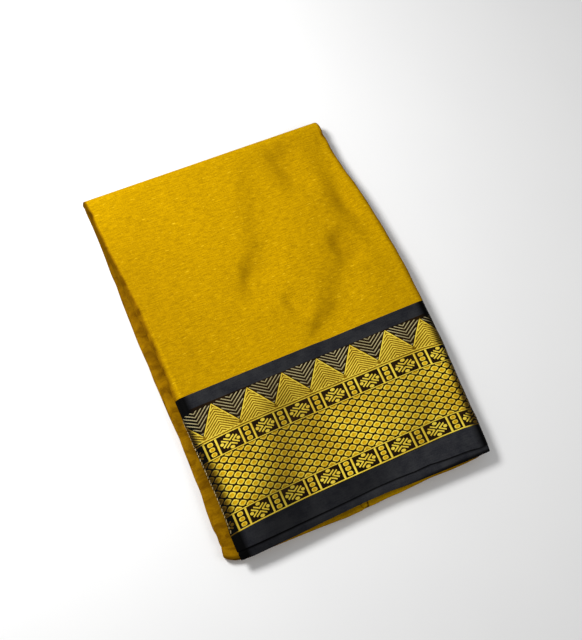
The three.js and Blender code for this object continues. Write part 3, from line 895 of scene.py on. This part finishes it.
# The upper panel's outer face over the border, by distance round the cloth and down the border
LOOKUP_STEP = 0.5
LOOKUP_SPAN = (-138.0, 154.0)
lookup_y = np.arange(NEAR_SHOULDER, BORDER_TOP + 4, LOOKUP_STEP)
lookup_x, lookup_z = upper_section(lookup_y)
lookup_u = np.arange(*LOOKUP_SPAN, LOOKUP_STEP)
lookup = np.zeros((len(lookup_y), len(lookup_u), 3))
for row in range(len(lookup_y)):
    xs = lookup_x[row][::-1]
    zs = lookup_z[row][::-1]
    run = np.concatenate([[0], np.cumsum(np.hypot(np.diff(xs), np.diff(zs)))])
    run -= np.interp(0.0, xs[EDGE_STEPS:-EDGE_STEPS], run[EDGE_STEPS:-EDGE_STEPS])
    lookup[row, :, 0] = np.interp(lookup_u, run, xs)
    lookup[row, :, 1] = lookup_y[row]
    lookup[row, :, 2] = np.interp(lookup_u, run, zs)
lookup_normal = -grid_normals(lookup)

# How far round each side the pattern reaches
LEFT_LIMIT = -134.5
RIGHT_LIMIT = 147.5

# The border is pulled down a little where it turns over the folds
PULL = [(-136, 4.6), (-130, 4), (-120, 3), (-100, 1.7), (-80, 0.9), (-55, 0.2), (-30, 0), (95, 0),
        (118, 0.9), (132, 2.6), (148, 4)]
# The rows of the pattern drift sideways against each other as the cloth was pulled in folding
TEMPLE_DRIFT = [(-98, 0), (-60, 0), (-22, -0.7), (15, -1.1), (53, -2.2), (91, -0.8), (129, 0)]
UPPER_DRIFT = [(-98, 2.2), (-79, 1.8), (-60, 1), (-41, 0), (53, 0), (72, 0.8), (91, 2), (118, 3)]
LOWER_DRIFT = [(-117, 1.3), (-98, 1.2), (-79, 0.3), (-60, 0), (-41, -0.8), (15, -0.7), (53, 0),
               (72, 1.8), (91, 2.5), (110, 3.9)]
# Down the border: where the temples' drift ends, and how the upper row's gives way to the lower's
TEMPLES_END = 43
MIXED_PART = (60, 60)


def drift(u, v):
    share = ramp(v, *MIXED_PART)
    rows = wander(UPPER_DRIFT, u) * (1 - share) + wander(LOWER_DRIFT, u) * share
    return np.where(v < TEMPLES_END, wander(TEMPLE_DRIFT, u), rows)


def on_cloth(u, v, lift):
    """Points on the border, u round the packet from its middle line and v down from BORDER_TOP."""
    u = np.clip(u + drift(u, v), LEFT_LIMIT, RIGHT_LIMIT)
    v = v + wander(PULL, u)
    col = np.clip((u - lookup_u[0]) / LOOKUP_STEP, 0, len(lookup_u) - 1.001)
    row = np.clip((BORDER_TOP - v - lookup_y[0]) / LOOKUP_STEP, 0, len(lookup_y) - 1.001)
    c0 = col.astype(int)
    r0 = row.astype(int)
    fc = (col - c0)[:, None]
    fr = (row - r0)[:, None]

    def between(table):
        near = table[r0, c0] * (1 - fc) + table[r0, c0 + 1] * fc
        far = table[r0 + 1, c0] * (1 - fc) + table[r0 + 1, c0 + 1] * fc
        return near * (1 - fr) + far * fr

    return between(lookup) + between(lookup_normal) * lift[:, None]


# How deep a raised thread's sides are sunk into the cloth, so that it never floats
SUNK = -0.12
# Share of a ribbon's width that slopes on each side
BEVEL = 0.14
THREAD_RISE = 0.17
# How far the pattern runs along the border before it repeats
REPEAT = 37.85
HALF = REPEAT / 2

# Painted shade on the gold, deep in the troughs of the border and less on its crests, as light falls:
# x, y, heading, length, width on the left, width on the right, tone
GOLD_SHADE_BASE = 0.15
GOLD_SHADE = [
    (-56, -114, -34, 130, 21, 26, 0.38),
    (-68, -150, 0, 40, 18, 22, 0.22),
    (-105, -110, -8, 90, 14, 14, -0.08),
    (-40, -66, -70, 60, 9, 9, 0.10),
    (10, -56, 0, 30, 16, 16, 0.10),
    (-22, -106, -10, 50, 12, 14, 0.10),
    (18, -135, -12, 80, 22, 28, -0.18),
    (50, -58, 0, 34, 18, 18, -0.14),
    (98, -58, 0, 30, 14, 14, -0.10),
    (82, -128, -20, 76, 14, 15, 0.16),
    (124, -100, -8, 120, 14, 20, -0.14),
]

# Painted shade of the threads on the border's side folds. On the right it starts further in lower down
LEFT_SHADE_TONE = 0.93
RIGHT_SHADE_TONE = 0.88
RIGHT_SHADE = 130.0
RIGHT_SHADE_SLANT = 0.12


class Motifs:
    """Raised threads of the pattern, gathered in the cloth's coordinates into one mesh."""

    def __init__(self):
        self.points = []
        self.faces = []
        self.slots = []

    def ribbon(self, first, second, height=THREAD_RISE):
        """A raised band between two edges, each a list of points."""
        first = np.asarray(first, float)
        second = np.asarray(second, float)
        places = np.concatenate([first[:, 0], second[:, 0]])
        if places.max() < LEFT_LIMIT or places.min() > RIGHT_LIMIT:
            return
        base = len(self.points)
        for a, b in zip(first, second):
            inward = (b - a) * BEVEL
            self.points += [(*a, SUNK), (*(a + inward), height), (*(b - inward), height), (*b, SUNK)]
        for k in range(len(first) - 1):
            here = base + 4 * k
            for side in range(4):
                nxt = (side + 1) % 4
                self.faces.append((here + side, here + nxt, here + 4 + nxt, here + 4 + side))
        last = base + 4 * (len(first) - 1)
        self.faces.append((base + 3, base + 2, base + 1, base))
        self.faces.append((last, last + 1, last + 2, last + 3))
        self.slots += [0] * (4 * (len(first) - 1) + 2)

    def bar(self, start, end, width, height=THREAD_RISE, step=2.0):
        """A straight band."""
        start = np.asarray(start, float)
        reach = np.asarray(end, float) - start
        length = np.linalg.norm(reach)
        count = max(1, int(round(length / step)))
        path = start + reach * np.linspace(0, 1, count + 1)[:, None]
        off = np.array([reach[1], -reach[0]]) / length * width / 2
        self.ribbon(path + off, path - off, height)

    def vee(self, middle, tip, level, run, width, height):
        """Two arms from a tip to a level; run is how far sideways an arm goes for each unit down."""
        sign = 1 if level > tip else -1
        thick_v = width / 2 * math.sqrt(1 + run**2) / run
        thick_u = thick_v * run
        for side in (-1, 1):
            count = max(2, int(abs(level - tip) / 1.1))
            share = np.linspace(0, 1, count + 1)
            v = tip + (level - tip) * share
            u = middle + side * abs(level - tip) * run * share
            outer = np.stack([u + side * thick_u, v], axis=1)
            inner = np.stack([u - side * thick_u, v], axis=1)
            outer[0] = (middle, tip - sign * thick_v)
            inner[0] = (middle, tip + sign * thick_v)
            if side * sign > 0:
                outer, inner = inner, outer
            self.ribbon(outer, inner, height)

    def pad(self, middle, half, power, dimple, count=16, top=-math.inf, bottom=math.inf, deep=1):
        """A rounded cell: a raised rim round a lower heart of deeper gold, cut off at two levels."""
        if not LEFT_LIMIT < middle[0] < RIGHT_LIMIT:
            return
        cos, sin = powered(np.linspace(0, 2 * math.pi, count, endpoint=False), 2 / power)
        base = len(self.points)
        low = THREAD_RISE - dimple
        for scale, lift in ((1.0, SUNK), (0.92, THREAD_RISE), (0.62, THREAD_RISE), (0.48, low)):
            for c, s in zip(cos, sin):
                v = min(max(middle[1] + half[1] * s * scale, top), bottom)
                self.points.append((middle[0] + half[0] * c * scale, v, lift))
        for level in range(3):
            for k in range(count):
                a = base + level * count + k
                b = base + level * count + (k + 1) % count
                self.faces.append((a, b, b + count, a + count))
                self.slots.append(deep if level == 2 else 0)
        heart = len(self.points)
        self.points.append((middle[0], min(max(middle[1], top), bottom), low))
        for k in range(count):
            self.faces.append((base + 3 * count + k, base + 3 * count + (k + 1) % count, heart))
            self.slots.append(deep)
        self.faces.append(tuple(range(base + count - 1, base - 1, -1)))
        self.slots.append(0)

    def field(self, middle, levels, halves, height, slot, columns=28):
        """A flat filled shape between two mirrored edges, with enough columns to lie on the cloth."""
        base = len(self.points)
        share = np.linspace(-1, 1, columns + 1)
        for level, half in zip(levels, halves):
            for part in share:
                self.points.append((middle + half * part, level, height))
        for row in range(len(levels) - 1):
            for k in range(columns):
                a = base + row * (columns + 1) + k
                self.faces.append((a, a + columns + 1, a + columns + 2, a + 1))
                self.slots.append(slot)

    def clipped_vee(self, middle, tip, bound, slope, width, height, upward):
        """Two arms from a tip at a flat slope, each cut off where it leaves the bound.
        bound gives the half width that is free at each level."""
        reach = np.linspace(0, HALF, 120)
        fall = -slope if upward else slope
        level = tip + reach * fall
        free = reach + width * 0.2 <= bound(level)
        if not free[1]:
            return
        end = reach[np.argmin(free)] if not free.all() else reach[-1]
        if end < 0.6:
            return
        self.vee(middle, tip, tip + end * fall, 1 / slope, width, height)

    def make(self, name, materials, with_painted_shade=True, left_shade=(-122.0, -4.0)):
        """The threads as one piece on the cloth, with painted shade where the border rolls over its
        side folds and in its troughs.
        """
        data = np.array(self.points)
        u = np.clip(data[:, 0], LEFT_LIMIT, RIGHT_LIMIT)
        v = data[:, 1]
        verts = on_cloth(u, v, data[:, 2])
        tone = LEFT_SHADE_TONE * ramp(u, *left_shade)
        tone = tone + RIGHT_SHADE_TONE * ramp(u, RIGHT_SHADE - RIGHT_SHADE_SLANT * (v - 50), 5)
        tone = tone + GOLD_SHADE_BASE + patches(verts[:, 0], verts[:, 1], GOLD_SHADE)
        tone = unit(tone) * with_painted_shade
        cloth = np.stack([u, -v, data[:, 2]], axis=1)
        piece = build(name, verts, self.faces, materials, cloth, tone, self.slots, sharp=70)
        return piece


# The border's chart, in millimetres down from BORDER_TOP
FIRST_AXIS = 15.5
AXES = [FIRST_AXIS + REPEAT * k for k in range(-5, 5)]
TEMPLE_TIP = 12.8
TEMPLE_MEET = 37.6
TEMPLE_BASE = 42.2
UPPER_ROW = (44.9, 60.0)
LATTICE = (61.7, 112.1)
LOWER_ROW = (114.0, 128.6)
TEMPLE_RUN = (HALF - 0.4) / (TEMPLE_MEET - TEMPLE_TIP)
LINES = [(43.9, 1.1), (60.6, 1.1), (113.1, 1.1), (129.5, 1.3)]
THREAD_SLOPE = 0.66
VEE_SLOPE = 0.68
CHEVRON_PITCH = 2.6
VEE_PITCH = 3.45
VEES = 7


def temple_half(level):
    """Half the width of a temple at a level of the chart."""
    return np.clip(0.4 + TEMPLE_RUN * (level - TEMPLE_TIP), 0, HALF) * (level < TEMPLE_BASE)


def inside_temple(level):
    return temple_half(level) - 1.3


def between_temples(level):
    return (HALF - temple_half(level) - 0.9) * (level > TEMPLE_TIP - 0.4)


temples = Motifs()
vees = Motifs()
for axis in AXES:
    chevrons = int((TEMPLE_BASE - TEMPLE_TIP) / CHEVRON_PITCH)
    for k in range(1, chevrons + 5):
        tip = TEMPLE_TIP + 1.6 + k * CHEVRON_PITCH
        if tip < TEMPLE_BASE:
            temples.clipped_vee(axis, tip, inside_temple, THREAD_SLOPE, 1.15, THREAD_RISE, False)
    side = np.linspace(TEMPLE_TIP, TEMPLE_MEET, 13)
    half = 0.4 + TEMPLE_RUN * (side - TEMPLE_TIP)
    backing = np.concatenate([side, [LINES[0][0]]])
    temples.field(axis, backing, np.concatenate([half, [HALF]]), THREAD_RISE * 0.3, slot=1)
    temples.bar((axis - HALF, TEMPLE_BASE - 0.5), (axis + HALF, TEMPLE_BASE - 0.5), 1.0)
    for way in (-1, 1):
        outer = [(axis + way * w, v) for w, v in zip(half, side)]
        inner = [(axis + way * max(w - 1.7, 0.0), v) for w, v in zip(half, side)]
        first, second = (outer, inner) if way > 0 else (inner, outer)
        temples.ribbon(first, second)
    valley = axis + HALF
    for k in range(VEES):
        tip = TEMPLE_TIP + 1.9 + k * VEE_PITCH
        vees.clipped_vee(valley, tip, between_temples, VEE_SLOPE, 1.05, THREAD_RISE * 0.8, True)

lines = Motifs()
for level, width in LINES:
    lines.bar((LEFT_LIMIT, level), (RIGHT_LIMIT, level), width, step=1.5)

# Thread that binds the turn of the border at its left fold
binding = Motifs()
BINDING_PLACE = -131.4
STITCH = 3.56
STITCH_LEAN = 0.5
for k in range(int((LOWER_ROW[1] - TEMPLE_TIP) / STITCH)):
    level = TEMPLE_TIP + STITCH * (k + 0.5)
    length = STITCH * (0.55 + 0.16 * math.sin(k * 2.3))
    binding.bar((BINDING_PLACE + STITCH_LEAN, level), (BINDING_PLACE - STITCH_LEAN, level + length),
                0.85, THREAD_RISE * 2.4, step=1.0)

# Boxes: three dots between two posts, and in the box a flower of four brackets that point at its
# middle, each with a bud between its arms
POST_OFFSET = 6.2
POST_WIDTH = 2.3
DOTS = (-4.85, 0.0, 4.85)
DOT = (3.0, 2.05)
ARM_RUN = 5.8
ARM_FALL = 3.4
ARM_WIDTH = 1.6
UPRIGHT = 0.93
BUDS = [(8.5, 0, (2.0, 1.6)), (0, 5.75, (2.5, 1.6))]
boxes = Motifs()
for low, high in (UPPER_ROW, LOWER_ROW):
    middle = (low + high) / 2
    for axis in AXES:
        hub = axis + HALF
        for post in (hub - POST_OFFSET, hub + POST_OFFSET):
            boxes.bar((post, low - 0.3), (post, high + 0.3), POST_WIDTH)
        for level in DOTS:
            boxes.pad((hub, middle + level), DOT, 2.7, 0.06)
        for side in (-1, 1):
            tip = (axis + side * 2.5, middle)
            for way in (-1, 1):
                boxes.bar((tip[0] - side * 0.3, tip[1] - way * 0.2),
                          (tip[0] + side * ARM_RUN, tip[1] + way * ARM_FALL), ARM_WIDTH)
                boxes.bar((axis - way * 0.3, middle + side * 1.3),
                          (axis + way * ARM_RUN * UPRIGHT, middle + side * (1.5 + ARM_FALL * UPRIGHT)),
                          ARM_WIDTH)
            for out, along, half in BUDS:
                boxes.pad((axis + side * out, middle + side * along), half, 2.0, 0.03, count=14, deep=0)

lattice = Motifs()
CELL_PITCH = REPEAT / 3
LATTICE_ROWS = 14
row_pitch = (LATTICE[1] - LATTICE[0]) / LATTICE_ROWS
CELL = (4.22, 2.82)
for row in range(LATTICE_ROWS + 1):
    offset = 0 if row % 2 else CELL_PITCH / 2
    for k in range(-15, 15):
        centre = (FIRST_AXIS + offset + CELL_PITCH * k, LATTICE[0] + row_pitch * row)
        lattice.pad(centre, CELL, 1.4, 0.07, top=LATTICE[0] - 0.2, bottom=LATTICE[1] + 0.2)

pattern = [
    temples.make("zari_temples", [ZARI, ZARI_SHADOW]),
    vees.make("pale_thread_vees", [PALE_THREAD], left_shade=(-127.0, -4.0)),
    lines.make("zari_lines", [ZARI]),
    binding.make("binding_thread", [BINDING], with_painted_shade=False),
    boxes.make("zari_boxes", [ZARI, ZARI_DEEP]),
    lattice.make("zari_lattice", [ZARI, ZARI_DEEP], left_shade=(-117.0, -9.0)),
]

# Floor
FLOOR_HALF = 3.0
FLOOR_HEIGHT = -0.0002
floor_shader = Shader("floor_paint", Roughness=0.7)
floor_place = floor_shader.nodes.new("ShaderNodeNewGeometry").outputs["Position"]
floor_noise = floor_shader.noise(9, 9, place=floor_place)
floor_shader.colour(floor_shader.blend(floor_noise, rgba(0.90, 0.90, 0.90), rgba(0.93, 0.93, 0.925)))
floor_mesh = bpy.data.meshes.new("floor")
corners = [(-1, -1), (1, -1), (1, 1), (-1, 1)]
floor_points = [(x * FLOOR_HALF, y * FLOOR_HALF, FLOOR_HEIGHT) for x, y in corners]
floor_mesh.from_pydata(floor_points, [], [(0, 1, 2, 3)])
floor_mesh.materials.append(floor_shader.material)
floor = placed("floor", floor_mesh)

# Light: a large soft key from above the far left, and a pale room round it
world = bpy.data.worlds.new("room")
world.use_nodes = True
background = world.node_tree.nodes["Background"].inputs
background["Color"].default_value = rgba(1.0, 1.0, 1.0)
background["Strength"].default_value = 0.30
bpy.context.scene.world = world


def area_light(name, place, target, size, power):
    data = bpy.data.lights.new(name, "AREA")
    data.shape = "DISK"
    data.size = size
    data.energy = power
    lamp = placed(name, data)
    lamp.location = place
    lamp.rotation_euler = (Vector(target) - Vector(place)).to_track_quat("-Z", "Y").to_euler()


area_light("key", (-0.44, 0.46, 0.68), (0.0, 0.0, 0.0), 0.30, 9.0)
area_light("fill", (0.7, -0.5, 1.2), (0.0, -0.05, 0.0), 0.9, 2.8)

# Camera, turned as the photograph's was
CAMERA_PLACE = Vector((-0.33535, -0.26325, 1.0983))
CAMERA_RIGHT = Vector((0.88797, -0.42388, 0.17843)).normalized()
CAMERA_BACK = Vector((-0.29570, -0.22908, 0.92741)).normalized()
CAMERA_LENS = 67.5
SENSOR = 36.0
up = CAMERA_BACK.cross(CAMERA_RIGHT).normalized()
right = up.cross(CAMERA_BACK).normalized()
camera_data = bpy.data.cameras.new("camera")
camera_data.lens = CAMERA_LENS
camera_data.sensor_width = SENSOR
camera_data.clip_start = 0.01
camera_data.clip_end = 20.0
camera = placed("camera", camera_data)
turn = Matrix((right, up, CAMERA_BACK)).transposed().to_4x4()
camera.matrix_world = Matrix.Translation(CAMERA_PLACE) @ turn
bpy.context.scene.camera = camera

bpy.context.scene.view_settings.view_transform = "Standard"
bpy.context.scene.view_settings.look = "None"

bpy.context.view_layer.update()
